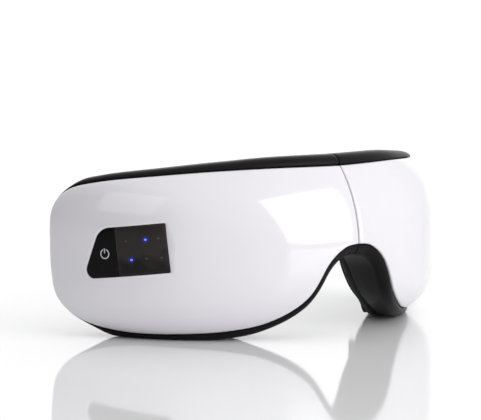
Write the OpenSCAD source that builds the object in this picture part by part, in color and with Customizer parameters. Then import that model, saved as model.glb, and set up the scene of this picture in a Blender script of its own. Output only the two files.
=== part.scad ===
// Folding eye massager mask: two hinged halves that lie over the eyes.
// +X is the wearer's left, -Y the front of the mask, +Z up. The origin is on the
// surface that the mask stands on, under the middle of its box.

/* [Mask] */
// Half of the width across the temples
half_width = 100; // [96:1:106]
// Depth of the front curve, from the bridge back to the temples
front_depth = 88.8; // [84:0.4:94]
// Height of the widest line of the front
belly_z = 34.7; // [33:0.1:38]
// How far the front leans back at its top edge
lean_top = 12.5; // [8:0.5:15]
// How far the front leans back at its bottom edge
lean_bottom = 17; // [14:0.5:18]
// Gap along the seam between the halves
seam_gap = 0.5; // [0.4:0.1:0.8]

/* [Shells] */
// Wall of the white front shells
shell_t = 2; // [1.6:0.2:2.4]
// How far the dark case stands out over the top edge of a front shell
rim_top = 4.8; // [3:0.2:5.4]
// How far the case stands out under the bottom edge
rim_bottom = 4; // [3.6:0.1:4.4]
// How much further it stands out round the nose arch
nose_rim = 1.2; // [0.6:0.1:1.4]
// Depth of a case, from the front curve to its back edge
case_depth = 22; // [21.5:0.5:23]
// Depth of the back plate inside a case
plate_depth = 18.5; // [18.3:0.1:18.8]
// Depth of a half with its face pad
pad_depth = 31.5; // [31:0.5:32.5]
// Opening of a face pad, measured in from the outline
pad_width = 13; // [11:0.5:14]

/* [Hinge] */
// Diameter of the hinge pin
pin_d = 2.5; // [2:0.1:3]
// Diameter of the hinge knuckles
knuckle_d = 6; // [5.6:0.1:6.4]
// Depth of the hinge axis behind the front of the bridge
hinge_depth = 27; // [26.5:0.1:27.5]
// Running clearance round the pin
pin_clear = 0.05; // [0.03:0.01:0.08]

/* [Control panel] */
// Length of the panel
panel_l = 39; // [38:0.5:40]
// Height of the panel
panel_h = 21; // [20:0.2:22]
// Tilt of the panel
panel_tilt = 6.5; // [4:0.5:8]
// Gap round the panel and the button
panel_gap = 0.2; // [0.15:0.05:0.3]
// Travel of the power button
button_travel = 0.6; // [0.4:0.1:0.8]

/* [Massage] */
// Travel of the massage heads when the air bags fill
press_travel = 1.5; // [1:0.1:1.6]
// Radius of the dome on each massage head
dome_r = 3; // [2.5:0.1:3.2]

/* [Temples] */
// Height of a strap slot
slot_h = 24; // [20:1:26]
// Width of a strap slot
slot_w = 5; // [4.5:0.1:5.5]

/* [Hidden] */

top_z = 74;
arch_z = 40.7;
mm_per_deg = 1.62;
side_square = 1.8;
box_back_y = 12.48;
shift_y = (front_depth - box_back_y) / 2;
eye_th = 43;
eye_z = 41;
panel_th = 67;
panel_z = 39.6;
divide_x = 3.6;
low_corner = 3.5;
high_corner = 8;
hinge_y = shift_y - front_depth + hinge_depth;
hinge_low = 44;
hinge_high = 72;
knuckles = 5;
loop_x = half_width - 11.5;
loop_z = 40;
weight_th = 27;
weight_z = 55;
motor_in = 9;
motor_l = 10;
motor_d = 7;
weight_l = 4;
weight_d = 5;
screw_d = 1.6;
film_gap = 0.35;
liner_in = 10;
liner_t = 1.2;
heads_in = liner_in - press_travel - 3.1;
board_in = 5.4;
button_back = 2.3;
loop_t = 3;
cell_l = 32;
cell_h = 22;
mark_r = 2.2;
mark_line = 0.45;
black = [0.07, 0.07, 0.075];
white = [0.93, 0.93, 0.96];
metal = [0.75, 0.75, 0.76];

// Outline of one half's front shell, from the top of the seam round the temple to the
// top of the nose arch: [angle round the head, height]
corners = [[0, top_z], [22, 74.2], [45, 73.2], [65, 70.7], [78, 68], [87, 64], [91.4, 55.5],
    [91.8, 41.5], [91.2, 27.5], [89, 16], [82, 6.7], [70, 2.8], [54, 3], [39, 4.6], [26.5, 8.3],
    [17, 17.2], [10.5, 32.7], [5, 39.3], [0, arch_z]];

// --- curves -------------------------------------------------------------------------
function clamp(v, lo, hi) = min(max(v, lo), hi);
function smooth(v) = let(q = clamp(v, 0, 1)) q * q * (3 - 2 * q);
function spline_at(p0, p1, p2, p3, t) = 0.5 * (2 * p1 + (p2 - p0) * t
    + (2 * p0 - 5 * p1 + 4 * p2 - p3) * t * t + (3 * p1 - p0 - 3 * p2 + p3) * t * t * t);
function spline(p, steps) = let(n = len(p)) [for (i = [0 : n - 2], k = [0 : steps - 1])
    spline_at(p[max(i - 1, 0)], p[i], p[i + 1], p[min(i + 2, n - 1)], k / steps)];
seam_steps = 5;
outline = concat(spline(corners, 3), [for (k = [0 : seam_steps - 1])
    [0, arch_z + (top_z - arch_z) * k / seam_steps]]);
points = len(outline);
seam_from = points - seam_steps;
middle = [45, 40];

// How far the front surface leans back at a height; its sides are squarer than its middle
function lean(th, z) = let(top = (z - belly_z) / (top_z - belly_z), low = 1 - z / belly_z,
    square = side_square * smooth((th - 15) / 40))
    z > belly_z ? lean_top * pow(top, 2.46 + (top < 1 ? square : 0))
    : lean_bottom * pow(low, 2.88 + (low < 1 ? square : 0));
function plan_r(th, inset) = 1 / sqrt(pow(sin(th) / (half_width - inset), 2)
    + pow(cos(th) / (front_depth - inset), 2));
function plan(th, inset) = plan_r(th, inset) * [sin(th), -cos(th)];
// Beside the nose the walls run straight back, elsewhere towards the middle of the head
function straight(th) = 1 - smooth((th - 12) / 30);
function place(th, z, inset) = let(w = straight(th),
    q = w * (plan(th, 0) + [0, inset]) + (1 - w) * plan(th, inset))
    [max(q[0], 0) + seam_gap / 2, q[1] + shift_y, z];
// Depth at the temples is less than at the nose
function temple(th) = smooth((th - 48) / 36);
function case_back(th) = case_depth - 6 * temple(th);
function plate_at(th) = plate_depth - 4 * temple(th);
function pad_back(th) = pad_depth - 10 * temple(th);

// Outward direction of the outline at a point, mitred at the seam's two ends
function outward(i) = i == 0 ? [-1, 1] : i == seam_from ? [-1, -1] : i > seam_from ? [-1, 0]
    : let(a = outline[i - 1], b = outline[(i + 1) % points],
        d = [(b[0] - a[0]) * mm_per_deg, b[1] - a[1]]) [-d[1], d[0]] / norm(d);
// A point of the outline moved out along its outward direction, or drawn in towards the
// middle. Its seam side starts at an angle, and nothing goes below the ground.
function moved(i, out, start) = let(p = outline[i], n = outward(i),
    th = p[0] + start * (1 - smooth(p[0] / 14)))
    out < 0 ? [middle[0] + (th - middle[0]) * (1 + out / middle[0] / mm_per_deg),
        middle[1] + (p[1] - middle[1]) * (1 + out / middle[1])]
    : [max(start, th + n[0] * out / mm_per_deg), max(0, p[1] + n[1] * out)];
// How far the case stands proud of the shell round the outline
function rim(i) = let(p = outline[i], up = p[1] > 43)
    (up ? rim_top - 1.8 * smooth(p[0] / 70) : rim_bottom + nose_rim * (1 - smooth((p[0] - 8) / 22)))
    * (1 - 0.85 * smooth(up ? (p[0] - 82) / 10 : (p[0] - 74) / 12));

// --- solids that follow the front curve ----------------------------------------------
// Faces of a grid of rings; wrap joins the last ring to the first
function ring_faces(n, m, wrap) = [for (j = [0 : m - (wrap ? 1 : 2)], i = [0 : n - 1], side = [0, 1])
    let(a = j * n + i, b = j * n + (i + 1) % n, c = ((j + 1) % m) * n + (i + 1) % n,
        d = ((j + 1) % m) * n + i) side == 0 ? [a, c, b] : [a, d, c]];

// A closed dish: edge loops, then a front and a back that close on a middle point.
// front and back give the inset from the head's outer curve at an angle and a height.
module dish(out, front, back, edge = 0.5, rings = 7, start = 0) {
    centre = middle;
    loops = [for (k = [1 : rings]) pow(k / rings, 0.8)];
    function at(i, k, fn, shrink) = let(q = moved(i, out - shrink, start), p = centre + (q - centre) * k)
        place(p[0], p[1], fn(p[0], p[1]));
    n = points;
    m = 2 * rings;
    verts = concat(
        [for (k = loops, i = [0 : n - 1]) at(i, k, front, edge)],
        [for (k = [rings - 1 : -1 : 0], i = [0 : n - 1]) at(i, loops[k], back, 0)],
        [place(centre[0], centre[1], front(centre[0], centre[1])),
            place(centre[0], centre[1], back(centre[0], centre[1]))]);
    caps = [for (i = [0 : n - 1], side = [0, 1]) let(b = (i + 1) % n) side == 0
        ? [m * n, i, b] : [m * n + 1, (m - 1) * n + b, (m - 1) * n + i]];
    polyhedron(verts, concat(ring_faces(n, m, false), caps), 4);
}

// A closed ring round the outline: profile(i) lists [outward, inset] round its section
module band(profile, start = 0) {
    m = len(profile(0));
    verts = [for (j = [0 : m - 1], i = [0 : points - 1]) let(q = profile(i)[j],
        p = moved(i, q[0], start)) place(p[0], p[1], q[1])];
    polyhedron(verts, ring_faces(points, m, true), 4);
}

// Joins solids into one mesh
module as_mesh() resize([0, 0, 0]) children();
// The wearer's right half is the mirror image of the left one
module half(side) if (side < 0) mirror([1, 0, 0]) children(); else children();
// Puts children at an angle, height and inset, with +Y pointing into the head
module at(th, z, inset) {
    q = plan(th, inset);
    turn = atan2(q[0] / pow(half_width, 2), -q[1] / pow(front_depth, 2));
    translate(place(th, z, inset)) rotate([0, 0, turn]) children();
}

// --- outer pieces --------------------------------------------------------------------
// Drawn with +X towards the temple, where its end is round
module panel_outline(grow = 0) offset(delta = grow) rotate(-panel_tilt) hull() {
    translate([-panel_l / 2, -panel_h / 2]) square([1, panel_h]);
    translate([panel_l / 2 - low_corner, low_corner - panel_h / 2]) circle(low_corner, $fn = 48);
    translate([panel_l / 2 - high_corner - 5.5, panel_h / 2 - high_corner])
        circle(high_corner, $fn = 72);
}
module panel_prism(grow = 0) at(panel_th, panel_z, 0) translate([0, 12, 0]) rotate([90, 0, 0])
    linear_extrude(24) panel_outline(grow);

module shell_skin() dish(0, function(th, z) lean(th, z), function(th, z) lean(th, z) + shell_t,
    0.6, 9);
module front_shell(side) color(white) half(side)
    if (side < 0) as_mesh() difference() { shell_skin(); panel_prism(panel_gap); }
    else shell_skin();

module case_band() band(function(i) let(r = rim(i), f = lean(outline[i][0], outline[i][1]),
    th = outline[i][0], b = case_back(th), flange = plate_at(th) - 0.3)
    [[0.4, f + 0.9], [0.4 + 0.45 * r, f + 2.2], [0.4 + 0.8 * r, f + 3.6], [r, f + 6],
        [r, b - 1.2], [r - 0.8, b], [-3.3, b], [-3.3, flange], [-9, flange],
        [-9, flange - 1.4], [-1, flange - 1.4], [-1, f + 3.1], [-2.6, f + 3.1],
        [-2.6, f + 2.5], [0.4, f + 2.5]]);
module case(side) color(black) half(side) as_mesh() difference() {
    union() {
        case_band();
        for (s = screw_places) screw_place(s) translate([0, 0, 2]) cylinder(h = 4.5, d = 4.6, $fn = 24);
    }
    for (s = screw_places) screw_place(s) translate([0, 0, -2]) cylinder(h = 9, d = 2, $fn = 24);
    strap_place() cube([loop_t + 0.3, 12, slot_h + 8.3], true);
    if (side < 0) socket_place() cube([8, 3.2, 30], true);
}

module back_plate(side) color(black) half(side) as_mesh() difference() {
    dish(-4.2, function(th, z) plate_at(th), function(th, z) plate_at(th) + 1.4, 0.1, 4, 4.3);
    for (s = screw_places) screw_place(s) translate([0, 0, -2]) cylinder(h = 9, d = 2.2, $fn = 24);
}
module face_pad(side) color([0.13, 0.13, 0.14]) half(side) band(function(i) let(
    r = rim(i) + (outline[i][1] > 43 ? 0.6 : -0.7),
    th = outline[i][0],
    f = case_back(th) + film_gap,
    b = pad_back(th),
    d = b - f,
    in = plate_at(th) + 3)
    [[r - 1.6, f], [r - 0.2, f + 0.22 * d], [r - 0.2, f + 0.55 * d], [r - 1.8, b - 0.2 * d],
        [r - 4.4, b], [-pad_width + 4.5, b], [-pad_width + 1.2, b - 0.2 * d],
        [-pad_width, f + 0.4 * d], [-pad_width, in], [-3.9, in], [-3.9, f]], 5);
// The domed lining that faces the eye, inside the pad
module eye_liner(side) color([0.2, 0.2, 0.22]) half(side) dish(-pad_width - 0.5,
    function(th, z) plate_at(th) + liner_in * (1 - 0.6 * temple(th)),
    function(th, z) plate_at(th) + (liner_in + liner_t) * (1 - 0.6 * temple(th)), 0.3, 4, 5);
module inner_sheet(side, in, from, to, thin, paint) color(paint) half(side) dish(-in,
    function(th, z) plate_at(th) + from,
    function(th, z) plate_at(th) + to - thin * temple(th), 0.1, 4, 6);
module air_bag(side) inner_sheet(side, 15, 2.8, 4.4, 0.8, [0.75, 0.76, 0.8]);
module heat_film(side) inner_sheet(side, 14, 1.9, 2.2, 0, [0.75, 0.45, 0.15]);

// A carrier with two rows of domes, which the air bag pushes towards the eye
module massage_heads(side) color([0.35, 0.36, 0.4]) half(side) at(eye_th, eye_z, plate_depth + heads_in) {
    translate([-12, 0, -9]) cube([24, 1, 18]);
    for (x = [-8, 0, 8], z = [-5, 5]) translate([x, 0.9, z]) rotate([-90, 0, 0])
        rotate_extrude($fn = 32) intersection() {
            translate([0, 1.6 - dome_r]) circle(dome_r, $fn = 48);
            square([dome_r, dome_r]);
        }
}

// Screws that hold a back plate in its case, on a line inside the outline
screw_places = [for (i = [4, 13, 23, 33, 45]) moved(i, -6.8, 5)];
module screw_place(s) at(s[0], s[1], plate_at(s[0]) + 1.4) rotate([90, 0, 0]) children();
module plate_screws(side) color(metal) half(side) for (s = screw_places) screw_place(s) {
    translate([0, 0, -0.6]) cylinder(h = 5.8, d = screw_d, $fn = 24);
    translate([0, 0, -1]) cylinder(h = 0.5, d = 2 * screw_d, $fn = 32);
}

module strap_place() translate([loop_x, shift_y + 3, loop_z]) children();
module strap_loop(side) color(black) half(side) strap_place() difference() {
    translate([-loop_t / 2, -4, -slot_h / 2 - 4]) cube([loop_t, box_back_y + 1, slot_h + 8]);
    translate([-loop_t, box_back_y - slot_w - 6, -slot_h / 2]) cube([2 * loop_t, slot_w, slot_h]);
}

// --- hinge ----------------------------------------------------------------------------
knuckle_h = (hinge_high - hinge_low) / knuckles;
module hinge_arm(side) color(black) difference() {
    union() {
        half(side) translate([1.2, shift_y - front_depth + case_depth + 0.3, hinge_low])
            cube([5.6, hinge_depth - case_depth - knuckle_d / 2 - 0.8, hinge_high - hinge_low]);
        for (k = [0 : knuckles - 1]) if (k % 2 == (side < 0 ? 0 : 1))
            translate([0, hinge_y, hinge_low + k * knuckle_h + 0.1]) {
                cylinder(h = knuckle_h - 0.2, d = knuckle_d, $fn = 48);
                half(side) translate([0, -knuckle_d / 2 - 1.5, 0])
                    cube([knuckle_d / 2, knuckle_d / 2 + 1.5, knuckle_h - 0.2]);
            }
    }
    translate([0, hinge_y, hinge_low - 1])
        cylinder(h = hinge_high - hinge_low + 2, d = pin_d + 2 * (side < 0 ? 0 : pin_clear), $fn = 48);
}
module hinge_pin() color(metal) translate([0, hinge_y, hinge_low - 0.4]) {
    cylinder(h = hinge_high - hinge_low + 0.8, d = pin_d, $fn = 48);
}

// --- vibration motors -----------------------------------------------------------------
module motor_place() at(weight_th, weight_z, motor_in) children();
module vibration_motor(side) color(metal) half(side) motor_place() difference() {
    translate([0, 0, -motor_l]) cylinder(h = motor_l, d = motor_d, $fn = 48);
    translate([0, 0, -6]) cylinder(h = 7, d = 1.1, $fn = 32);
}
module motor_weight(side) color([0.6, 0.55, 0.35]) half(side) motor_place() {
    translate([0, 0, -5]) cylinder(h = 8, d = 1, $fn = 32);
    translate([0, 0, 0.8]) intersection() {
        cylinder(h = weight_l, d = weight_d, $fn = 48);
        translate([-weight_d, -0.5, 0]) cube([2 * weight_d, weight_d, weight_l]);
    }
}

// --- control panel ---------------------------------------------------------------------
// A patch of the front's curve that is a little larger than the panel
module panel_skin(from, to) {
    angles = [53 : 3.1 : 84.1];
    heights = [27 : 3.3 : 57.5];
    n = len([for (z = heights) z]);
    m = len([for (th = angles) th]);
    verts = [for (depth = [from, to], th = angles, z = heights)
        place(th, z, lean(th, z) + depth)];
    function cell(i, j, k) = let(a = k * n * m + i * n + j) [a, a + 1, a + n + 1, a + n];
    function turned(q) = [q[3], q[2], q[1], q[0]];
    function split(q) = [[q[0], q[1], q[2]], [q[0], q[2], q[3]]];
    sheets = [for (i = [0 : m - 2], j = [0 : n - 2], k = [0, 1])
        each split(k == 1 ? turned(cell(i, j, k)) : cell(i, j, k))];
    back = n * m;
    ends = [for (i = [0 : m - 2], j = [0, n - 1])
        let(a = i * n + j, q = [a, a + n, a + n + back, a + back])
        each split(j == 0 ? q : turned(q))];
    sides = [for (i = [0, m - 1], j = [0 : n - 2]) let(a = i * n + j, q = [a, a + 1, a + 1 + back, a + back])
        each split(i == 0 ? turned(q) : q)];
    polyhedron(verts, concat(sheets, ends, sides));
}
module panel_side(button) at(panel_th, panel_z, 0) rotate([0, panel_tilt, 0])
    translate([button ? divide_x + panel_gap / 2 : divide_x - panel_gap / 2 - 40, -20, -20])
    cube([40, 40, 40]);
module panel_window() color([0.12, 0.11, 0.11]) half(-1) as_mesh() intersection() {
    panel_skin(0.1, 1.9);
    panel_prism();
    panel_side(false);
}
module power_button() color([0.03, 0.03, 0.035]) half(-1) as_mesh() intersection() {
    panel_skin(0.1, button_back);
    panel_prism();
    panel_side(true);
}
module mark_place() at(panel_th, panel_z, 0) rotate([0, panel_tilt, 0])
    translate([9.3, 0, -0.4]) children();
module power_mark() color([0.8, 0.8, 0.82]) half(-1) as_mesh() intersection() {
    panel_skin(-0.02, 0.1);
    mark_place() rotate([90, 0, 0]) translate([0, 0, -6]) linear_extrude(12) {
        difference() {
            circle(mark_r, $fn = 48);
            circle(mark_r - mark_line, $fn = 48);
            translate([-0.75, 0]) square([1.5, 3]);
        }
        translate([-mark_line / 2, 0.1]) square([mark_line, mark_r + 0.2]);
    }
}
// Places of the six lamps behind the window: [along the panel, up, lit]
lamps = [[-1.5, 4.4, 0], [-10.4, 4.4, 1], [-16, 4.5, 0],
    [-3.2, -3.8, 1], [-10, -3.7, 0], [-16.6, -4, 0]];
module board_place(depth) at(panel_th, panel_z, depth) rotate([0, panel_tilt, 0]) children();
module lamp_set(lit, paint) color(paint) half(-1) board_place(board_in - 1)
    for (q = lamps) if (q[2] == lit) translate([q[0], 0.5, q[1]]) cube([1.6, 1, 0.8], true);
module lamps_lit() lamp_set(1, [0.2, 0.35, 1]);
module lamps_unlit() lamp_set(0, [0.85, 0.85, 0.8]);
module lamp_board() color([0.05, 0.25, 0.12]) half(-1) board_place(board_in)
    translate([-18.5, 0.01, -8]) cube([33.5, 1, 16]);
// Its stem ends just behind the button when the button is pressed in
module button_switch() color([0.25, 0.25, 0.27]) half(-1) board_place(board_in)
    translate([9.5, 0, -1]) {
        translate([-2, -1.4, -2]) cube([4, 1.4, 4]);
        rotate([90, 0, 0])
            cylinder(h = board_in - button_back - button_travel - 0.9, d = 1.6, $fn = 32);
    }

// --- electronics ------------------------------------------------------------------------
module socket_place() at(46, 3.4, 19) children();
module charging_socket() color(metal) half(-1) socket_place() difference() {
    cube([7.6, 2.8, 5.2], true);
    translate([0, 0, -0.6]) cube([6.9, 1.9, 5.2], true);
}
module board_at() at(52, 42, 9.5) children();
module main_board() color([0.05, 0.25, 0.12]) half(-1) board_at()
    translate([-11, 0, -15]) cube([24, 1, 30]);
module board_chips() color([0.1, 0.1, 0.11]) half(-1) board_at() {
    translate([-7, 1.01, 2]) cube([7, 1.2, 7]);
    translate([4, 1.01, 6]) cube([4, 1, 3]);
    for (k = [0 : 3]) translate([-8 + 4.5 * k, 1.01, -6]) cube([2, 1.1, 1.2]);
}
module pump_place() at(27, 37, 8.6) children();
module air_pump() color([0.85, 0.85, 0.84]) half(-1) pump_place()
    translate([-5, -4, -11]) cube([10, 8.4, 7]);
module pump_motor() color(metal) half(-1) pump_place()
    translate([0, 0.2, -3.9]) cylinder(h = 11, d = 7.8, $fn = 48);
module air_valve() color([0.9, 0.9, 0.88]) half(-1) at(38, 58, 11) {
    translate([-4, -3, -4]) cube([8, 6, 8]);
    translate([0, 0, -6]) cylinder(h = 2, d = 2, $fn = 24);
}
module air_hose() color([0.8, 0.8, 0.82]) half(-1) at(38, 44, 11)
    translate([0, 0, -6]) cylinder(h = 13.9, d = 2.2, $fn = 24);
module battery_block(grow, y, t) at(50, 41, 5.8)
    translate([-cell_l / 2 - grow, y, -cell_h / 2 - grow]) cube([cell_l + 2 * grow, t, cell_h + 2 * grow]);
module battery_cell() color([0.15, 0.35, 0.6]) half(1) battery_block(0, 0, 7);
module battery_tray() color([0.2, 0.2, 0.21]) half(1) difference() {
    battery_block(1.2, 2, 6.4);
    battery_block(0.1, 1, 6.1);
}

front_shell(-1);  // front_shell_l
front_shell(1);  // front_shell_r
case(-1);  // case_l
case(1);  // case_r
back_plate(-1);  // back_plate_l
back_plate(1);  // back_plate_r
face_pad(-1);  // face_pad_l
face_pad(1);  // face_pad_r
eye_liner(-1);  // eye_liner_l
eye_liner(1);  // eye_liner_r
air_bag(-1);  // air_bag_l
air_bag(1);  // air_bag_r
heat_film(-1);  // heat_film_l
heat_film(1);  // heat_film_r
massage_heads(-1);  // massage_heads_l
massage_heads(1);  // massage_heads_r
plate_screws(-1);  // plate_screws_l
plate_screws(1);  // plate_screws_r
strap_loop(-1);  // strap_loop_l
strap_loop(1);  // strap_loop_r
hinge_arm(-1);  // hinge_arm_l
hinge_arm(1);  // hinge_arm_r
vibration_motor(-1);  // vibration_motor_l
vibration_motor(1);  // vibration_motor_r
motor_weight(-1);  // motor_weight_l
motor_weight(1);  // motor_weight_r
hinge_pin();
panel_window();
power_button();
power_mark();
button_switch();
lamps_lit();
lamps_unlit();
lamp_board();
main_board();
board_chips();
charging_socket();
air_pump();
pump_motor();
air_valve();
air_hose();
battery_cell();
battery_tray();
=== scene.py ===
"""Looks of the folding eye massager mask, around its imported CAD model.

Lengths in the geometry functions are millimetres, as in the CAD, and become metres where a mesh is
made. A half is drawn for +X and mirrored for -X. `th` is an angle round the head from the front, `z` a
height, `inset` a depth behind the mask's widest outer curve, and `out` a distance outside the outline.
"""
import math

import bmesh
import bpy
import numpy as np
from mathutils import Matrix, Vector


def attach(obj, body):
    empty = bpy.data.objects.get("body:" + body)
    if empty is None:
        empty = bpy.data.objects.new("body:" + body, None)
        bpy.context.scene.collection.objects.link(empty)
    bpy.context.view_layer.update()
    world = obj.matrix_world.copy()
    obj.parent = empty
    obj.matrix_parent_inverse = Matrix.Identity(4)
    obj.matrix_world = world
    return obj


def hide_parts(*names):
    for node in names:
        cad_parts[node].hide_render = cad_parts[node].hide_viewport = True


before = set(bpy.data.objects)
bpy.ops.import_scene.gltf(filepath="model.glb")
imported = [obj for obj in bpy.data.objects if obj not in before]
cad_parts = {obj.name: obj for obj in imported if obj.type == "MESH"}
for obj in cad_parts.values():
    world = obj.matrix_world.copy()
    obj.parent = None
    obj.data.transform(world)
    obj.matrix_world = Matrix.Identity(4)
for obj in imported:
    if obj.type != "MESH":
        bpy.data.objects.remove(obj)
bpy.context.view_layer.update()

# --- driving sizes, as in the CAD --------------------------------------------------------------
MM = 0.001
HALF_WIDTH = 100.0
FRONT_DEPTH = 88.8
BACK_Y = 12.48
SHIFT_Y = (FRONT_DEPTH - BACK_Y) / 2
BELLY_Z = 34.7
LEAN_TOP = 12.5
LEAN_BOTTOM = 17.0
SIDE_SQUARE = 1.8
TOP_Z = 74.0
ARCH_Z = 40.7
MM_PER_DEG = 1.62
SEAM_GAP = 0.5
SHELL_T = 2.0
RIM_TOP = 4.8
RIM_BOTTOM = 4.0
NOSE_RIM = 1.2
CASE_DEPTH = 22.0
PLATE_DEPTH = 18.5
PAD_DEPTH = 31.5
PAD_WIDTH = 13.0
MIDDLE = np.array([45.0, 40.0])
PANEL_TH = 67.0
PANEL_Z = 39.6
PANEL_L = 39.0
PANEL_H = 21.0
PANEL_TILT = 6.5
PANEL_GAP = 0.2
DIVIDE_X = 3.6
LOW_CORNER = 3.5
HIGH_CORNER = 8.0
HIGH_CORNER_IN = 5.5
EYE = np.array([43.0, 41.0])
LINER_IN = 11.2
PANEL_MIDDLE = np.array([PANEL_TH, PANEL_Z])
CORNERS = [(0, TOP_Z), (22, 74.2), (45, 73.2), (65, 70.7), (78, 68), (87, 64), (91.4, 55.5),
           (91.8, 41.5), (91.2, 27.5), (89, 16), (82, 6.7), (70, 2.8), (54, 3), (39, 4.6),
           (26.5, 8.3), (17, 17.2), (10.5, 32.7), (5, 39.3), (0, ARCH_Z)]
SIDES = {"l": ("control_half", -1), "r": ("battery_half", 1)}


# --- curves ------------------------------------------------------------------------------------
def smooth(v):
    q = np.clip(v, 0, 1)
    return q * q * (3 - 2 * q)


def spline(corners, steps):
    p = np.array(corners, float)
    p = np.vstack([p[:1], p, p[-1:]])
    t = (np.arange(steps) / steps)[:, None]
    parts = []
    for a, b, c, d in zip(p, p[1:], p[2:], p[3:]):
        parts.append(0.5 * (2 * b + (c - a) * t + (2 * a - 5 * b + 4 * c - d) * t ** 2
                            + (3 * b - a - 3 * c + d) * t ** 3))
    return np.vstack(parts)


SPLINE_STEPS = 14
SEAM_STEPS = 40
OUTLINE = np.vstack([spline(CORNERS, SPLINE_STEPS),
                     np.stack([np.zeros(SEAM_STEPS),
                               ARCH_Z + (TOP_Z - ARCH_Z) * np.arange(SEAM_STEPS) / SEAM_STEPS], 1)])
SEAM_FROM = len(OUTLINE) - SEAM_STEPS


def outward_directions():
    before, after = np.roll(OUTLINE, 1, 0), np.roll(OUTLINE, -1, 0)
    run = (after - before) * [MM_PER_DEG, 1]
    n = np.stack([-run[:, 1], run[:, 0]], 1) / np.linalg.norm(run, axis=1)[:, None]
    n[SEAM_FROM + 1:] = [-1, 0]
    n[0] = [-1, 1]
    n[SEAM_FROM] = [-1, -1]
    return n


OUTWARD = outward_directions()


def lean(th, z):
    """How far the front surface leans back at a height; its sides are squarer than its middle."""
    square = SIDE_SQUARE * smooth((th - 15) / 40)
    up = np.clip((z - BELLY_Z) / (TOP_Z - BELLY_Z), 0, None)
    down = np.clip((BELLY_Z - z) / BELLY_Z, 0, None)
    return (LEAN_TOP * up ** (2.46 + np.where(up < 1, square, 0))
            + LEAN_BOTTOM * down ** (2.88 + np.where(down < 1, square, 0)))


def plan(th, inset):
    t = np.radians(th)
    r = 1 / np.sqrt((np.sin(t) / (HALF_WIDTH - inset)) ** 2 + (np.cos(t) / (FRONT_DEPTH - inset)) ** 2)
    return r * np.sin(t), -r * np.cos(t)


def place(th, z, inset):
    """Points on the head-shaped curve. Beside the nose depth runs straight back."""
    th, z, inset = np.broadcast_arrays(np.asarray(th, float), z, inset)
    w = 1 - smooth((th - 12) / 30)
    x0, y0 = plan(th, 0)
    x1, y1 = plan(th, inset)
    x = np.maximum(w * x0 + (1 - w) * x1, 0) + SEAM_GAP / 2
    return np.stack([x, w * (y0 + inset) + (1 - w) * y1 + SHIFT_Y, z], -1)


def temple(th):
    return smooth((th - 48) / 36)


def case_back(th):
    return CASE_DEPTH - 6 * temple(th)


def plate_at(th):
    return PLATE_DEPTH - 4 * temple(th)


def pad_back(th):
    return PAD_DEPTH - 10 * temple(th)


def moved(out, start=0.0, square=False):
    """The outline moved out along its normals, or drawn in towards the middle of the half."""
    th = OUTLINE[:, 0] + start * (1 - smooth(OUTLINE[:, 0] / 14))
    z = OUTLINE[:, 1]
    out = np.broadcast_to(out, th.shape)
    low = z + OUTWARD[:, 1] * out
    eased = (low + np.sqrt(low ** 2 + 0.6)) / 2 - 0.1 * (1 - smooth(low / 6))
    grown = np.stack([np.maximum(start, th + OUTWARD[:, 0] * out / MM_PER_DEG), eased], 1)
    drawn = MIDDLE + (np.stack([th, z], 1) - MIDDLE) * np.stack(
        [1 + out / MIDDLE[0] / MM_PER_DEG, 1 + out / MIDDLE[1]], 1)
    return np.where((out < 0)[:, None] & (not square), drawn, grown)


def rim():
    """How far the dark case stands proud of the shell, round the outline."""
    th, z = OUTLINE.T
    up = z > 43
    base = np.where(up, RIM_TOP - 1.8 * smooth(th / 70),
                    RIM_BOTTOM + NOSE_RIM * (1 - smooth((th - 8) / 22)))
    return base * (1 - 0.85 * smooth(np.where(up, (th - 82) / 10, (th - 74) / 12)))


# --- mesh building -------------------------------------------------------------------------------
def add_mesh(name, verts, faces, smooth_shade=True):
    mesh = bpy.data.meshes.new(name)
    mesh.from_pydata([tuple(v) for v in np.asarray(verts) * MM], [], [tuple(f) for f in faces])
    mesh.validate()
    mesh.polygons.foreach_set("use_smooth", [smooth_shade] * len(mesh.polygons))
    obj = bpy.data.objects.new(name, mesh)
    bpy.context.scene.collection.objects.link(obj)
    return obj


def ring_quads(rings, count, wrap=False, flip=False):
    faces = []
    for j in range(rings if wrap else rings - 1):
        for i in range(count):
            k, m = (i + 1) % count, (j + 1) % rings
            quad = (j * count + i, m * count + i, m * count + k, j * count + k)
            faces.append(quad[::-1] if flip else quad)
    return faces


def mirrored(points, side):
    return np.asarray(points) * [side, 1, 1]


def lofted(name, rings, side, wrap=False, caps=True):
    """A mesh through rings of points, closed on a middle point at each end unless it wraps."""
    count = len(rings[0])
    verts = mirrored(np.vstack(rings), side)
    flip = side > 0
    faces = ring_quads(len(rings), count, wrap, flip)
    if not wrap and caps:
        ends = [(0, rings[0]), ((len(rings) - 1) * count, rings[-1])]
        for base, ring in ends:
            centre = len(verts)
            verts = np.vstack([verts, mirrored(np.mean(ring, 0)[None], side)])
            for i in range(count):
                tri = (base + i, base + (i + 1) % count, centre)
                faces.append(tri if (base > 0) != flip else tri[::-1])
    return add_mesh(name, verts, faces)


def tidy_normals(obj):
    """Turns every face outwards."""
    bm = bmesh.new()
    bm.from_mesh(obj.data)
    bmesh.ops.recalc_face_normals(bm, faces=bm.faces)
    bm.to_mesh(obj.data)
    bm.free()
    return obj


def finish_piece(obj, body, slot, material, *nodes):
    obj.data.materials.clear()
    obj.data.materials.append(material)
    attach(obj, body)
    if nodes:
        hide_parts(*nodes)
    return obj


# --- node materials ------------------------------------------------------------------------------
def new_material(name, color, roughness, **sockets):
    mat = bpy.data.materials.new(name)
    mat.use_nodes = True
    shader = mat.node_tree.nodes["Principled BSDF"]
    shader.inputs["Base Color"].default_value = (*color, 1)
    shader.inputs["Roughness"].default_value = roughness
    for key, value in sockets.items():
        shader.inputs[key.replace("_", " ")].default_value = value
    return mat, mat.node_tree, shader


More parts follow.
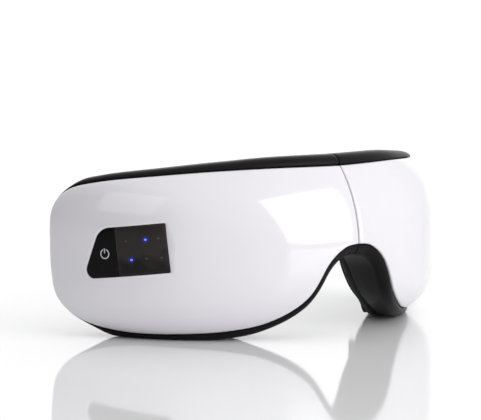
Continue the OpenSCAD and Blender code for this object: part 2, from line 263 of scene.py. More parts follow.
def node(tree, kind, inputs=None, **props):
    made = tree.nodes.new(kind)
    for key, value in props.items():
        setattr(made, key, value)
    for key, value in (inputs or {}).items():
        if isinstance(value, bpy.types.NodeSocket):
            tree.links.new(value, made.inputs[key])
        else:
            made.inputs[key].default_value = value
    return made


def noise(tree, scale, detail=3.0, rough=0.5):
    place_node = node(tree, "ShaderNodeTexCoord")
    return node(tree, "ShaderNodeTexNoise", {"Vector": place_node.outputs["Object"],
                                             "Scale": scale, "Detail": detail, "Roughness": rough})


def ramp(tree, factor, low, high, a, b):
    made = node(tree, "ShaderNodeMapRange", {"Value": factor, "From Min": low, "From Max": high,
                                             "To Min": a, "To Max": b})
    return made.outputs["Result"]


def color_between(tree, factor, a, b):
    made = node(tree, "ShaderNodeMix", {"Factor": factor}, data_type="RGBA")
    made.inputs[6].default_value = (*a, 1)
    made.inputs[7].default_value = (*b, 1)
    return made.outputs[2]


def bump(tree, shader, height, strength, distance):
    made = node(tree, "ShaderNodeBump", {"Height": height, "Strength": strength, "Distance": distance})
    tree.links.new(made.outputs["Normal"], shader.inputs["Normal"])


def white_lacquer():
    mat, tree, shader = new_material("white_lacquer", (0.84, 0.825, 0.865), 0.16, Coat_Weight=1.0,
                                     Coat_Roughness=0.03, IOR=1.5)
    cloudy = noise(tree, 22, 2).outputs["Fac"]
    tree.links.new(color_between(tree, cloudy, (0.80, 0.785, 0.825), (0.875, 0.86, 0.9)),
                   shader.inputs["Base Color"])
    tree.links.new(ramp(tree, noise(tree, 300, 4).outputs["Fac"], 0.3, 0.7, 0.13, 0.2),
                   shader.inputs["Roughness"])
    bump(tree, shader, noise(tree, 60, 1).outputs["Fac"], 0.05, 0.0004)
    return mat


def satin_black(name="satin_black", tone=0.006, rough=0.34):
    mat, tree, shader = new_material(name, (tone, tone, tone), rough, Specular_IOR_Level=0.1)
    tree.links.new(color_between(tree, noise(tree, 120, 3).outputs["Fac"], (tone * 0.7,) * 3,
                                 (tone * 1.5, tone * 1.5, tone * 1.6)), shader.inputs["Base Color"])
    grain = noise(tree, 4200, 2).outputs["Fac"]
    tree.links.new(ramp(tree, grain, 0.3, 0.7, rough - 0.05, rough + 0.07), shader.inputs["Roughness"])
    bump(tree, shader, grain, 0.25, 0.00004)
    return mat


def soft_leather():
    mat, tree, shader = new_material("soft_leather", (0.013, 0.013, 0.014), 0.5, Sheen_Weight=0.05,
                                     Sheen_Roughness=0.5, Specular_IOR_Level=0.2)
    place_node = node(tree, "ShaderNodeTexCoord")
    cells = node(tree, "ShaderNodeTexVoronoi", {"Vector": place_node.outputs["Object"], "Scale": 900},
                 feature="DISTANCE_TO_EDGE")
    creases = noise(tree, 260, 4, 0.6).outputs["Fac"]
    height = node(tree, "ShaderNodeMath", {0: ramp(tree, cells.outputs["Distance"], 0, 0.18, 0, 1),
                                           1: creases}, operation="MULTIPLY")
    tree.links.new(color_between(tree, creases, (0.007, 0.007, 0.0075), (0.018, 0.018, 0.019)),
                   shader.inputs["Base Color"])
    tree.links.new(ramp(tree, creases, 0.3, 0.7, 0.42, 0.6), shader.inputs["Roughness"])
    bump(tree, shader, height.outputs["Value"], 0.5, 0.00018)
    return mat


def knit_lining():
    mat, tree, shader = new_material("knit_lining", (0.03, 0.03, 0.034), 0.85, Sheen_Weight=0.35,
                                     Sheen_Roughness=0.4)
    place_node = node(tree, "ShaderNodeTexCoord")
    rows = node(tree, "ShaderNodeTexWave", {"Vector": place_node.outputs["Object"], "Scale": 420,
                                            "Distortion": 0.6, "Detail": 1}, bands_direction="Z")
    columns = node(tree, "ShaderNodeTexWave", {"Vector": place_node.outputs["Object"], "Scale": 420,
                                               "Distortion": 0.6, "Detail": 1}, bands_direction="X")
    weave = node(tree, "ShaderNodeMath", {0: rows.outputs["Fac"], 1: columns.outputs["Fac"]},
                 operation="MULTIPLY").outputs["Value"]
    tree.links.new(color_between(tree, weave, (0.012, 0.012, 0.014), (0.055, 0.055, 0.062)),
                   shader.inputs["Base Color"])
    bump(tree, shader, weave, 0.6, 0.00025)
    return mat


def piano_black(name, tone, tint=(1, 1, 1)):
    base = tuple(tone * c for c in tint)
    mat, tree, shader = new_material(name, base, 0.08, Specular_IOR_Level=0.12)
    tree.links.new(color_between(tree, noise(tree, 45, 2).outputs["Fac"], tuple(0.75 * c for c in base),
                                 tuple(1.25 * c for c in base)), shader.inputs["Base Color"])
    tree.links.new(ramp(tree, noise(tree, 700, 3).outputs["Fac"], 0.3, 0.7, 0.06, 0.12),
                   shader.inputs["Roughness"])
    return mat


def plain_metal(name, color, rough, brushed=0.0):
    mat, tree, shader = new_material(name, color, rough, Metallic=1.0)
    place_node = node(tree, "ShaderNodeTexCoord")
    stretch = node(tree, "ShaderNodeMapping", {"Vector": place_node.outputs["Object"],
                                               "Scale": (1, 1, 0.08 if brushed else 1)})
    lines = node(tree, "ShaderNodeTexNoise", {"Vector": stretch.outputs["Vector"], "Scale": 2500,
                                              "Detail": 2})
    tree.links.new(ramp(tree, lines.outputs["Fac"], 0.3, 0.7, rough * 0.8, rough * 1.3),
                   shader.inputs["Roughness"])
    bump(tree, shader, lines.outputs["Fac"], 0.15, 0.00002)
    return mat


def moulded(name, color, rough=0.45, **sockets):
    mat, tree, shader = new_material(name, color, rough, **sockets)
    tree.links.new(color_between(tree, noise(tree, 150, 3).outputs["Fac"],
                                 tuple(0.88 * c for c in color), tuple(min(1, 1.08 * c) for c in color)),
                   shader.inputs["Base Color"])
    bump(tree, shader, noise(tree, 3000, 2).outputs["Fac"], 0.12, 0.00004)
    return mat


def glowing(name, color, strength):
    mat, tree, shader = new_material(name, color, 0.3, Emission_Strength=strength)
    shader.inputs["Emission Color"].default_value = (*color, 1)
    tree.links.new(color_between(tree, noise(tree, 3000, 1).outputs["Fac"], color,
                                 tuple(min(1, c * 1.3) for c in color)), shader.inputs["Base Color"])
    return mat


# --- white front shells ---------------------------------------------------------------------------
EDGE = 0.7
EDGE_STEPS = 5
FRONT_RINGS = 26
BACK_RINGS = 15
HOLE_EASE = 1.01
HOLE_LIP = 0.25
HOLE_FLARE = 0.03
BACK_CLOSE = 0.05


def edge_profile(radius, thickness, steps=EDGE_STEPS):
    """(out, depth) over a rounded edge, from the face to the back corner."""
    turns = np.radians(np.linspace(0, 90, steps + 1))[1:]
    curve = [(-radius + radius * math.sin(a), radius - radius * math.cos(a)) for a in turns]
    return curve + [(0, thickness - 0.15), (-0.15, thickness)]


def shell_rings(inner_line, inner_back):
    """Rings from an inner line over the front to the rim edge, and back under it.

    inner_back says how far from the inner line the last ring stops, as a part of the way out.
    """
    border = moved(-EDGE, square=True)
    rings = []
    for k in np.linspace(0, 1, FRONT_RINGS + 1)[1:]:
        p = inner_line + (border - inner_line) * k
        rings.append(place(p[:, 0], p[:, 1], lean(p[:, 0], p[:, 1])))
    for out, depth in edge_profile(EDGE, SHELL_T):
        p = moved(out, square=True)
        rings.append(place(p[:, 0], p[:, 1], lean(p[:, 0], p[:, 1]) + depth))
    for k in np.append(np.linspace(0.96, 0.1, BACK_RINGS), inner_back):
        p = inner_line + (border - inner_line) * k
        rings.append(place(p[:, 0], p[:, 1], lean(p[:, 0], p[:, 1]) + SHELL_T))
    return rings


# --- control panel: a tilted rounded outline on the front's curve ----------------------------------
PANEL_EDGE = 0.25
PANEL_SUNK = 0.1
PANEL_RINGS = 10
WINDOW_T = 1.8
BUTTON_T = 2.2


def panel_frame():
    """A point on the panel, and the directions along it and into the head."""
    x, y = plan(PANEL_TH, 0)
    turn = math.atan2(x / HALF_WIDTH ** 2, -y / FRONT_DEPTH ** 2)
    along = np.array([math.cos(turn), math.sin(turn), 0])
    inward = np.array([-math.sin(turn), math.cos(turn), 0])
    return place(PANEL_TH, PANEL_Z, 0), along, inward


def panel_angle(xz):
    """Angle and height on the front surface for points drawn on the tilted panel."""
    origin, along, _ = panel_frame()
    tilt = math.radians(PANEL_TILT)
    x = xz[:, 0] * math.cos(tilt) + xz[:, 1] * math.sin(tilt)
    z = PANEL_Z + xz[:, 1] * math.cos(tilt) - xz[:, 0] * math.sin(tilt)
    th = PANEL_TH + x / MM_PER_DEG
    for _ in range(8):
        th = th + (x - (place(th, z, lean(th, z)) - origin) @ along) / MM_PER_DEG
    return th, z


def on_panel(xz, depth):
    th, z = panel_angle(xz)
    return place(th, z, lean(th, z)) + panel_frame()[2] * depth


def arc(cx, cz, r, start, end, steps):
    turns = np.radians(np.linspace(start, end, steps + 1))
    return [(cx + r * math.cos(a), cz + r * math.sin(a)) for a in turns]


def panel_shape(grow=0.0, left=-PANEL_L / 2, right_end=True, right=PANEL_L / 2, corner=0.5):
    """Outline of the panel or of one zone of it: square towards the nose, round at the temple."""
    low, high = -PANEL_H / 2 - grow, PANEL_H / 2 + grow
    left, right = left - grow, right + grow
    nose_end = arc(left + corner, high - corner, corner, 90, 180, 4) \
        + arc(left + corner, low + corner, corner, 180, 270, 4)
    if not right_end:
        return np.array(nose_end + arc(right - corner, low + corner, corner, 270, 360, 4)
                        + arc(right - corner, high - corner, corner, 0, 90, 4))
    small, big = LOW_CORNER, HIGH_CORNER
    c1 = np.array([PANEL_L / 2 - small, small - PANEL_H / 2])
    c2 = np.array([PANEL_L / 2 - big - HIGH_CORNER_IN, PANEL_H / 2 - big])
    run = c2 - c1
    meet = math.degrees(math.atan2(run[1], run[0])
                        - math.acos((small - big) / np.linalg.norm(run)))
    return np.array(nose_end + arc(*c1, small + grow, -90, meet, 14)
                    + arc(*c2, big + grow, meet, 90, 18))


def resampled(loop, spacing):
    """The same outline with points added along its straight runs."""
    points = []
    for a, b in zip(loop, np.roll(loop, -1, 0)):
        pieces = max(1, int(np.ceil(np.linalg.norm(b - a) / spacing)))
        points += [a + (b - a) * k / pieces for k in range(pieces)]
    return np.array(points)


def inset_loop(loop, distance):
    centre = loop.mean(0)
    span = np.ptp(loop, axis=0) / 2
    return centre + (loop - centre) * (1 - distance / span)


def panel_piece(name, shape, thickness):
    """A plate that fills one zone of the panel, just below the shell, with an eased edge."""
    loop = resampled(shape, 0.8)
    centre = loop.mean(0)
    sheets = []
    for k in np.linspace(0, 1, PANEL_RINGS + 1)[1:]:
        sheets.append(on_panel(centre + (inset_loop(loop, PANEL_EDGE) - centre) * k, PANEL_SUNK))
    for out, depth in edge_profile(PANEL_EDGE, thickness, 3):
        sheets.append(on_panel(inset_loop(loop, -out), depth + PANEL_SUNK))
    for k in (0.7, 0.35):
        sheets.append(on_panel(centre + (loop - centre) * k, thickness + PANEL_SUNK))
    return tidy_normals(lofted(name, sheets, -1))


def hole_loop():
    """The panel opening, met by straight rays from its middle to the shell's outline."""
    hole = resampled(panel_shape(PANEL_GAP), 0.25)
    th, z = panel_angle(hole)
    hole = (np.stack([th, z], 1) - PANEL_MIDDLE) * [MM_PER_DEG, 1]
    edge = (moved(-EDGE, square=True) - PANEL_MIDDLE) * [MM_PER_DEG, 1]
    angles = np.arctan2(hole[:, 1], hole[:, 0])
    order = np.argsort(angles)
    radius = np.linalg.norm(hole, axis=1)[order]
    wanted = np.arctan2(edge[:, 1], edge[:, 0])
    r = np.interp(wanted, angles[order], radius, period=2 * math.pi)
    return PANEL_MIDDLE + np.stack([np.cos(wanted) * r, np.sin(wanted) * r], 1) / [MM_PER_DEG, 1]


def front_shell(side_name, material):
    body, side = SIDES[side_name]
    name = f"front_shell_{side_name}"
    if side < 0:
        hole = hole_loop()
        rings = shell_rings(hole, HOLE_FLARE)
        lip = place(hole[:, 0], hole[:, 1], lean(hole[:, 0], hole[:, 1]) + HOLE_LIP)
        grown = PANEL_MIDDLE + (hole - PANEL_MIDDLE) * HOLE_EASE
        face = place(grown[:, 0], grown[:, 1], lean(grown[:, 0], grown[:, 1]))
        obj = lofted(f"visual_{name}", [lip, face] + rings, side, wrap=True)
    else:
        rings = shell_rings(np.tile(MIDDLE, (len(OUTLINE), 1)), BACK_CLOSE)
        obj = lofted(f"visual_{name}", rings, side)
    return finish_piece(tidy_normals(obj), body, "white_shell", material, name)


# --- dark cases -----------------------------------------------------------------------------------
def band_rings(sections, start=0.0):
    """Rings from (out, depth) pairs, each a number or one value per outline point."""
    rings = []
    for out, depth in sections:
        p = moved(out, start)
        rings.append(place(p[:, 0], p[:, 1], depth))
    return rings


CASE_GAP = 0.4
CASE_STEP = 0.9
RIM_ROUND = 5.1
CASE_BACK_ROUND = 0.9


def case_band(side_name, material):
    """The dark band behind a shell: a round rim, a straight back and an inner flange."""
    body, side = SIDES[side_name]
    th, z = OUTLINE.T
    r, f, b, flange = rim(), lean(th, z), case_back(th), plate_at(th) - 0.3
    sections = [(CASE_GAP + 0 * r, f + 2.5), (CASE_GAP + 0 * r, f + 1.1)]
    for a in np.radians(np.linspace(8, 90, 10)):
        sections.append((CASE_GAP + (r - CASE_GAP) * math.sin(a),
                         f + CASE_STEP + RIM_ROUND * (1 - math.cos(a))))
    for a in np.radians(np.linspace(0, 90, 5)):
        sections.append((r - CASE_BACK_ROUND * (1 - math.cos(a)),
                         b - CASE_BACK_ROUND * (1 - math.sin(a))))
    for out, depth in [(-3.1, b), (-3.3, b - 0.2), (-3.3, flange), (-9, flange), (-9, flange - 1.4),
                       (-1, flange - 1.4), (-1, f + 3.1), (-2.6, f + 3.1), (-2.6, f + 2.5)]:
        sections.append((out + 0 * r, depth + 0 * r))
    name = f"case_{side_name}"
    obj = tidy_normals(lofted(f"visual_{name}", band_rings(sections), side, wrap=True))
    return finish_piece(obj, body, "dark_case", material, name)


# --- padded rings round the eyes -------------------------------------------------------------------
PAD_STRIDE = 3
PAD_SEAMS = (4, 8)
PAD_START = 5.0
PAD_PRESSURE = 4.5
PAD_SWELL = 0.0018
SEAM_PRESS = 0.0007
WELT_R = 0.0007


def pad_sections():
    """(out, depth) of the pad's section, and whether the cloth is held there."""
    th, z = OUTLINE.T
    r = rim() - np.where(z > 43, 1.9, 1.0)
    front, back, seat = case_back(th) + 0.5, pad_back(th) - 0.9, plate_at(th) + 3
    d = back - front
    w = PAD_WIDTH
    zero = 0 * th
    return [(r - 2.4, front, True), (r - 0.5, front + 0.1 * d, True), (r + 0.1, front + 0.38 * d, False),
            (r - 0.3, front + 0.66 * d, False), (r - 1.6, front + 0.84 * d, False),
            (r - 3.8, back - 0.5, False), (zero - w / 2 + 1.0, back + 0.7, False),
            (zero - w + 4.0, back - 0.3, False), (zero - w + 2.0, front + 0.82 * d, False),
            (zero - w + 0.8, front + 0.6 * d, False), (zero - w + 0.5, front + 0.25 * d, True),
            (zero - w + 0.4, seat + 0.3, True), (zero - 4.2, seat + 0.2, True),
            (zero - 4.2, front, True)]


def face_pad(side_name, material, piping_material):
    """A pad blown up as cloth, with two pressed seams that carry a welt each."""
    body, side = SIDES[side_name]
    sections = pad_sections()
    rings = [ring[::PAD_STRIDE] for ring in band_rings([s[:2] for s in sections], PAD_START)]
    count = len(rings[0])
    name = f"face_pad_{side_name}"
    obj = tidy_normals(lofted(f"visual_{name}", rings, side, wrap=True))
    held = [j * count + i for j, s in enumerate(sections) for i in range(count) if s[2]]
    beside_nose = np.arange(len(OUTLINE))[::PAD_STRIDE] >= SEAM_FROM
    held += [j * count + i for j in range(len(sections)) for i in range(count) if beside_nose[i]]
    inflate(obj, held, PAD_PRESSURE, PAD_SWELL)
    seams = [[obj.data.vertices[j * count + i].co.copy() for i in range(count)] for j in PAD_SEAMS]
    press_seams(obj, [j * count + i for j in PAD_SEAMS for i in range(count)], SEAM_PRESS)
    subdivide(obj, 2)
    welts = [welt(f"pad_welt_{side_name}_{k}", line, WELT_R, piping_material, body, "face_pad")
             for k, line in enumerate(seams)]
    return [finish_piece(obj, body, "face_pad", material, name)] + welts


def inflate(obj, held, pressure, cap, frames=20):
    """Runs cloth with air inside it, then keeps each point within cap of where it started."""
    start = [v.co.copy() for v in obj.data.vertices]
    group = obj.vertex_groups.new(name="held")
    group.add(sorted(set(held)), 1.0, "REPLACE")
    cloth = obj.modifiers.new("cloth", "CLOTH")
    cloth.settings.quality = 6
    cloth.settings.mass = 0.25
    cloth.settings.use_pressure = True
    cloth.settings.uniform_pressure_force = pressure
    cloth.settings.tension_stiffness = 12
    cloth.settings.compression_stiffness = 6
    cloth.settings.bending_stiffness = 0.4
    cloth.settings.shrink_min = -0.02
    cloth.settings.vertex_group_mass = "held"
    cloth.settings.effector_weights.gravity = 0
    cloth.collision_settings.use_collision = False
    scene = bpy.context.scene
    for frame_number in range(1, frames + 1):
        scene.frame_set(frame_number)
    evaluated = obj.evaluated_get(bpy.context.evaluated_depsgraph_get())
    moved_to = [v.co.copy() for v in evaluated.data.vertices]
    obj.modifiers.clear()
    obj.vertex_groups.clear()
    for v, a, b in zip(obj.data.vertices, start, moved_to):
        step = b - a
        if step.length > cap:
            step *= cap / step.length
        v.co = a + step
    scene.frame_set(1)


def press_seams(obj, points, depth):
    """Pushes points into the mesh along their normals."""
    obj.data.update()
    normals = [obj.data.vertices[i].normal.copy() for i in points]
    for i, n in zip(points, normals):
        obj.data.vertices[i].co -= n * depth


def subdivide(obj, levels):
    modifier = obj.modifiers.new("smooth", "SUBSURF")
    modifier.levels = modifier.render_levels = levels
    apply_modifiers(obj)


def apply_modifiers(obj):
    evaluated = obj.evaluated_get(bpy.context.evaluated_depsgraph_get())
    mesh = bpy.data.meshes.new_from_object(evaluated)
    obj.modifiers.clear()
    obj.data = mesh


def welt(name, line, radius, material, body, slot):
    """A thin piping round a closed line of points in metres."""
    curve = bpy.data.curves.new(name, "CURVE")
    curve.dimensions = "3D"
    curve.bevel_depth = radius
    curve.bevel_resolution = 3
    curve.resolution_u = 2
    path = curve.splines.new("NURBS")
    path.points.add(len(line) - 1)
    for point, co in zip(path.points, line):
        point.co = (*co, 1)
    path.order_u = 4
    path.use_cyclic_u = True
    path.use_endpoint_u = False
    obj = bpy.data.objects.new(name, curve)
    bpy.context.scene.collection.objects.link(obj)
    bpy.context.view_layer.update()
    mesh = bpy.data.meshes.new_from_object(obj.evaluated_get(bpy.context.evaluated_depsgraph_get()))
    bpy.data.objects.remove(obj)
    solid = bpy.data.objects.new(name, mesh)
    bpy.context.scene.collection.objects.link(solid)
    mesh.polygons.foreach_set("use_smooth", [True] * len(mesh.polygons))
    return finish_piece(solid, body, slot, material)


# --- knitted linings over the air bags -------------------------------------------------------------
LINER_T = 1.1
LINER_CROWN = 1.6
LINER_RINGS = 72
LINER_STRIDE = 2
BUMP_RISE = 1.3
BUMP_SPREAD = 11
BUMPS = [(x, z) for x in (-8, 0, 8) for z in (-5, 5)]
SKIRT_TOP, SKIRT_BOTTOM = 2.7, 1.9


def liner_depth(p, k, gap):
    """Depth of the lining at points p, a part k of the way from the eye to its edge."""
    bumps = 0.0
    for x, dz in BUMPS:
        away = ((p[:, 0] - EYE[0]) * MM_PER_DEG - x) ** 2 + (p[:, 1] - EYE[1] - dz) ** 2
        bumps = bumps + BUMP_RISE * np.exp(-away / BUMP_SPREAD)
    base = plate_at(p[:, 0]) + LINER_IN * (1 - 0.6 * temple(p[:, 0]))
    crown = LINER_CROWN * (1 - k ** 2) ** 0.8
    return base - 0.8 + crown + bumps - gap - smooth((k - 0.97) / 0.03)


def eye_liner(side_name, material):
    """A crowned lining with a bump over each massage head, tucked under the pad by a skirt."""
    body, side = SIDES[side_name]
    edge, skirt, tuck = [moved(out, PAD_START)[::LINER_STRIDE]
                         for out in (-PAD_WIDTH + 0.2, 3 - PAD_WIDTH, -0.3 - PAD_WIDTH)]
    rings = []
    steps = np.linspace(0, 1, LINER_RINGS)[1:]
    for k in steps:
        p = EYE + (edge - EYE) * k
        rings.append(place(p[:, 0], p[:, 1], liner_depth(p, k, 0)))
    for p, depth in [(edge, SKIRT_TOP), (skirt, SKIRT_TOP), (skirt, SKIRT_BOTTOM), (tuck, SKIRT_BOTTOM)]:
        rings.append(place(p[:, 0], p[:, 1], plate_at(p[:, 0]) + depth))
    for k in steps[-3::-5]:
        p = EYE + (edge - EYE) * k
        rings.append(place(p[:, 0], p[:, 1], liner_depth(p, k, LINER_T)))
    name = f"eye_liner_{side_name}"
    obj = lofted(f"visual_{name}", rings, side)
    tidy_normals(obj)
    return finish_piece(obj, body, "eye_liner", material, name)


# --- pieces on the control panel -------------------------------------------------------------------
LAMPS = [(-1.5, 4.4, False), (-10.4, 4.4, True), (-16.0, 4.5, False),
         (-3.2, -3.8, True), (-10.0, -3.7, False), (-16.6, -4.0, False)]
MARK_X, MARK_Z, MARK_R, MARK_LINE = 9.3, -0.4, 2.2, 0.45
MARK_FRONT, MARK_BACK = 0.06, 0.16


def strip_plate(name, left, right, front, back):
    """A thin plate on the panel between two lines of points."""
    n = len(left)
    rows = [on_panel(np.array(line), depth) for depth in (front, back) for line in (left, right)]
    verts = mirrored(np.vstack(rows), -1)
    faces = []
    for i in range(n - 1):
        faces += [(i, i + 1, n + i + 1, n + i), (2 * n + i, 3 * n + i, 3 * n + i + 1, 2 * n + i + 1),
                  (i, 2 * n + i, 2 * n + i + 1, i + 1), (n + i, n + i + 1, 3 * n + i + 1, 3 * n + i)]
    for i in (0, n - 1):
        faces.append((i, n + i, 3 * n + i, 2 * n + i))
    return tidy_normals(add_mesh(name, verts, faces, False))


def power_mark(material):
    """The generic power sign: an open ring and an upright bar."""
    turns = np.radians(np.linspace(112, 428, 60))
    ring = [[(MARK_X + r * math.cos(a), MARK_Z + r * math.sin(a)) for a in turns]
            for r in (MARK_R, MARK_R - MARK_LINE)]
    bar = [[(MARK_X + x, MARK_Z + z) for z in np.linspace(0.2, MARK_R + 0.2, 8)]
           for x in (-MARK_LINE / 2, MARK_LINE / 2)]
    obj = strip_plate("visual_power_mark", *ring, MARK_FRONT, MARK_BACK)
    stem = strip_plate("power_mark_stem", *bar, MARK_FRONT, MARK_BACK)
    finish_piece(stem, "power_button", "mark_grey", material, "power_mark")
    return finish_piece(obj, "power_button", "mark_grey", material, "power_mark")


def lamp_lens(index, material, slot):
    """A small domed lens set into the window."""
    x, z, _ = LAMPS[index]
    outline = [np.array([(x + r * 1.3 * math.cos(a), z + r * math.sin(a))
                         for a in np.linspace(0, 2 * math.pi, 25)[:-1]]) for r in (0.18, 0.36, 0.44)]
    rings = [on_panel(outline[0], 0.05), on_panel(outline[1], 0.06), on_panel(outline[2], 0.08),
             on_panel(outline[2], 0.6), on_panel(outline[0], 0.6)]
    obj = tidy_normals(lofted(f"lamp_lens_{index}", rings, -1))
    return finish_piece(obj, "control_half", slot, material)


def smoked_window_material():
    """Dark glass with a painted reflection that makes it blacker below a wavy line, and a soft painted
    glow round each lamp.
    """
    mat, tree, shader = new_material("smoked_window", (0.02, 0.017, 0.016), 0.07,
                                     Specular_IOR_Level=0.27)
    place_node = node(tree, "ShaderNodeTexCoord").outputs["Object"]
    height = node(tree, "ShaderNodeSeparateXYZ", {0: place_node}).outputs["Z"]
    # Painted reflection: the glass's base colour is much darker below a wavy line across the window,
    # standing in for a dark reflection.
    reflection_waves = noise(tree, 110, 1).outputs["Fac"]
    reflection_line = node(tree, "ShaderNodeMath", {0: reflection_waves, 1: 0.016, 2: height},
                operation="MULTIPLY_ADD").outputs["Value"]
    tree.links.new(color_between(tree, ramp(tree, reflection_line, 0.0415, 0.0455, 0, 1), (0.006, 0.006, 0.006),
                                 (0.028, 0.024, 0.022)), shader.inputs["Base Color"])
    # Painted glow: the glass itself emits a soft halo round each lamp, faint round the unlit ones.
    glow = None
    for x, z, lit in LAMPS:
        centre = mirrored(on_panel(np.array([(x, z)]), 0)[0], -1) * MM
        away = node(tree, "ShaderNodeVectorMath", {0: place_node, 1: tuple(centre)}, operation="DISTANCE")
        spread, power = (0.003, 0.6) if lit else (0.0009, 0.05)
        fall = ramp(tree, away.outputs["Value"], 0, spread, 1, 0)
        cubed = node(tree, "ShaderNodeMath", {0: fall, 1: 4.0}, operation="POWER").outputs["Value"]
        part = node(tree, "ShaderNodeMath", {0: cubed, 1: power}, operation="MULTIPLY").outputs["Value"]
        glow = part if glow is None else node(tree, "ShaderNodeMath", {0: glow, 1: part},
                                              operation="ADD").outputs["Value"]
    shader.inputs["Emission Color"].default_value = (0.03, 0.06, 1, 1)
    tree.links.new(glow, shader.inputs["Emission Strength"])
    return mat


def control_panel(window, button, mark, lit, clear):
    body = "control_half"
    glass = panel_piece("visual_panel_window",
                        panel_shape(0, -PANEL_L / 2, False, DIVIDE_X - PANEL_GAP / 2), WINDOW_T)
    finish_piece(glass, body, "smoked_panel", window, "panel_window")
    cap = panel_piece("visual_power_button", panel_shape(0, DIVIDE_X + PANEL_GAP / 2), BUTTON_T)
    finish_piece(cap, "power_button", "button_black", button, "power_button")
    power_mark(mark)
    for index, lamp in enumerate(LAMPS):
        lamp_lens(index, lit if lamp[2] else clear, "lamp_blue" if lamp[2] else "lamp_clear")


# --- small hard pieces, with eased edges -----------------------------------------------------------
def softened(node_name, body, slot, material, width=0.3, segments=3):
    """A copy of a CAD node with its sharp edges eased. width is in millimetres."""
    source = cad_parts[node_name]
    mesh = source.data.copy()
    mesh.transform(source.matrix_world)
    bm = bmesh.new()
    bm.from_mesh(mesh)
    bmesh.ops.remove_doubles(bm, verts=bm.verts, dist=1e-6)
    bmesh.ops.dissolve_limit(bm, angle_limit=math.radians(1), verts=bm.verts, edges=bm.edges)
    sharp = [e for e in bm.edges if len(e.link_faces) == 2 and e.calc_face_angle(0) > math.radians(30)]
    bmesh.ops.bevel(bm, geom=sharp, offset=width * MM, segments=segments, profile=0.5, affect="EDGES",
                    clamp_overlap=True)
    bm.to_mesh(mesh)
    bm.free()
    mesh.polygons.foreach_set("use_smooth", [True] * len(mesh.polygons))
    mesh.set_sharp_from_angle(angle=math.radians(32))
    obj = bpy.data.objects.new(f"visual_{node_name}", mesh)
    bpy.context.scene.collection.objects.link(obj)
    return finish_piece(obj, body, slot, material, node_name)


def paint(node_names, material):
    for name in node_names:
        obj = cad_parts[name]
        if not obj.material_slots:
            obj.data.materials.append(material)
        for held in obj.material_slots:
            held.material = material


white = white_lacquer()
dark = satin_black()
leather = soft_leather()
knit = knit_lining()
piping = satin_black("welt_vinyl", 0.01, 0.42)
steel = plain_metal("brushed_steel", (0.62, 0.62, 0.64), 0.28, 1)
brass = plain_metal("tungsten_alloy", (0.42, 0.38, 0.3), 0.4)
green = moulded("circuit_green", (0.015, 0.11, 0.045), 0.35, Coat_Weight=0.4)
chip = moulded("chip_black", (0.02, 0.02, 0.022), 0.5)
pump = moulded("pump_white", (0.72, 0.72, 0.7), 0.4)
bag = moulded("air_bag_film", (0.55, 0.57, 0.62), 0.3, Coat_Weight=0.3)
film = moulded("copper_film", (0.55, 0.3, 0.1), 0.35)
silicone = moulded("grey_silicone", (0.16, 0.165, 0.18), 0.6)
wrap = moulded("battery_wrap", (0.04, 0.1, 0.35), 0.3, Coat_Weight=0.5)
window_glass = smoked_window_material()
button_glass = piano_black("button_gloss", 0.006)
mark_print = moulded("mark_print", (0.62, 0.62, 0.65), 0.5)
lamp_on = glowing("lamp_on", (0.1, 0.18, 1.0), 0.8)
lamp_off = moulded("lamp_off", (0.05, 0.05, 0.055), 0.25)

for key in SIDES:
    front_shell(key, white)
    case_band(key, dark)
    face_pad(key, leather, piping)
    eye_liner(key, knit)
control_panel(window_glass, button_glass, mark_print, lamp_on, lamp_off)
for key, (body, _) in SIDES.items():
    softened(f"strap_loop_{key}", body, "dark_case", dark, 0.7, 4)
    softened(f"hinge_arm_{key}", body, "dark_case", dark, 0.25)
    softened(f"plate_screws_{key}", body, "steel", steel, 0.12, 2)
    paint([f"back_plate_{key}"], dark)
    paint([f"air_bag_{key}"], bag)
    paint([f"heat_film_{key}"], film)
    paint([f"massage_heads_{key}"], silicone)
    paint([f"vibration_motor_{key}"], steel)
    paint([f"motor_weight_{key}"], brass)
paint(["hinge_pin", "charging_socket", "pump_motor"], steel)
paint(["lamp_board", "main_board"], green)
paint(["board_chips", "button_switch"], chip)
paint(["air_pump", "air_valve"], pump)
paint(["air_hose"], silicone)
paint(["lamps_lit"], lamp_on)
paint(["lamps_unlit"], lamp_off)
paint(["battery_cell"], wrap)
paint(["battery_tray"], dark)


# --- table, lights and camera ----------------------------------------------------------------------
def glossy_table():
    mat, tree, shader = new_material("white_table", (0.93, 0.93, 0.94), 0.06, Specular_IOR_Level=0.5)
    tree.links.new(ramp(tree, noise(tree, 8, 2).outputs["Fac"], 0.3, 0.7, 0.05, 0.08),
                   shader.inputs["Roughness"])
    return mat


TABLE = 4000
floor = add_mesh("floor", [(-TABLE, -TABLE, 0), (TABLE, -TABLE, 0), (TABLE, TABLE, 0), (-TABLE, TABLE, 0)],
                 [(0, 1, 2, 3)], False)
floor.data.materials.append(glossy_table())


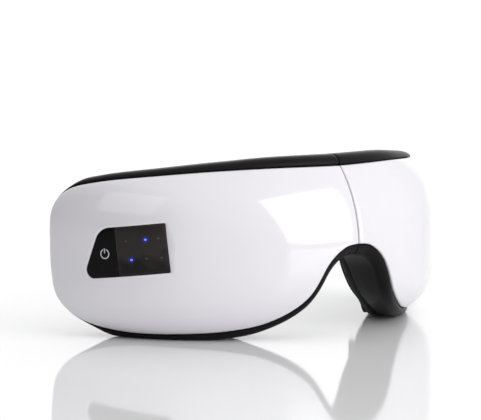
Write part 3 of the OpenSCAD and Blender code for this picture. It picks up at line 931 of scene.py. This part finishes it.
def toward(tree, direction, low, high, a, b):
    """A value from a to b by how near the light's direction is to one direction."""
    ray = node(tree, "ShaderNodeTexCoord").outputs["Generated"]
    near = node(tree, "ShaderNodeVectorMath", {0: ray, 1: direction}, operation="DOT_PRODUCT")
    return ramp(tree, near.outputs["Value"], low, high, a, b)


BACKDROP = (0.64, 0.77, 0)
BRIGHT_SIDE = (0.95, -0.3, 0.1)
world = bpy.data.worlds.new("studio")
world.use_nodes = True
sky = world.node_tree
wall = toward(sky, BACKDROP, 0.5, 0.95, 0, 1.25)
room = toward(sky, BRIGHT_SIDE, -0.8, -0.4, 0.0, 0.9)
rise = toward(sky, BRIGHT_SIDE, 0, 1, 0, -0.1)
sides = node(sky, "ShaderNodeMath", {0: room, 1: rise}, operation="ADD").outputs["Value"]
level = node(sky, "ShaderNodeMath", {0: sides, 1: wall}, operation="MAXIMUM").outputs["Value"]
sky.links.new(level, sky.nodes["Background"].inputs["Strength"])
sky.nodes["Background"].inputs["Color"].default_value = (1, 1, 1, 1)
bpy.context.scene.world = world
bpy.context.scene.view_settings.view_transform = "Standard"


def area_light(name, location, target, size, power):
    lamp = bpy.data.lights.new(name, "AREA")
    lamp.shape = "RECTANGLE"
    lamp.size, lamp.size_y = size
    lamp.energy = power
    obj = bpy.data.objects.new(name, lamp)
    obj.location = location
    obj.rotation_euler = (Vector(target) - Vector(location)).to_track_quat("-Z", "Y").to_euler()
    bpy.context.scene.collection.objects.link(obj)


area_light("front_box", location=(0.42, -1.13, 0.475), target=(0, 0, 0.04), size=(0.88, 0.93), power=6.0)
area_light("side_box", location=(-0.98, -0.04, 0.56), target=(-0.08, 0, 0.05), size=(0.72, 0.6), power=1.1)

camera = bpy.data.objects.new("camera", bpy.data.cameras.new("camera"))
camera.location = (-0.6317, -0.7257, 0.1533)
look_at = Vector((0.0041, 0.0353, 0.0482))
camera.rotation_euler = (look_at - camera.location).to_track_quat("-Z", "Y").to_euler()
camera.data.sensor_width = 36
camera.data.lens = 159.8
bpy.context.scene.collection.objects.link(camera)
bpy.context.scene.camera = camera
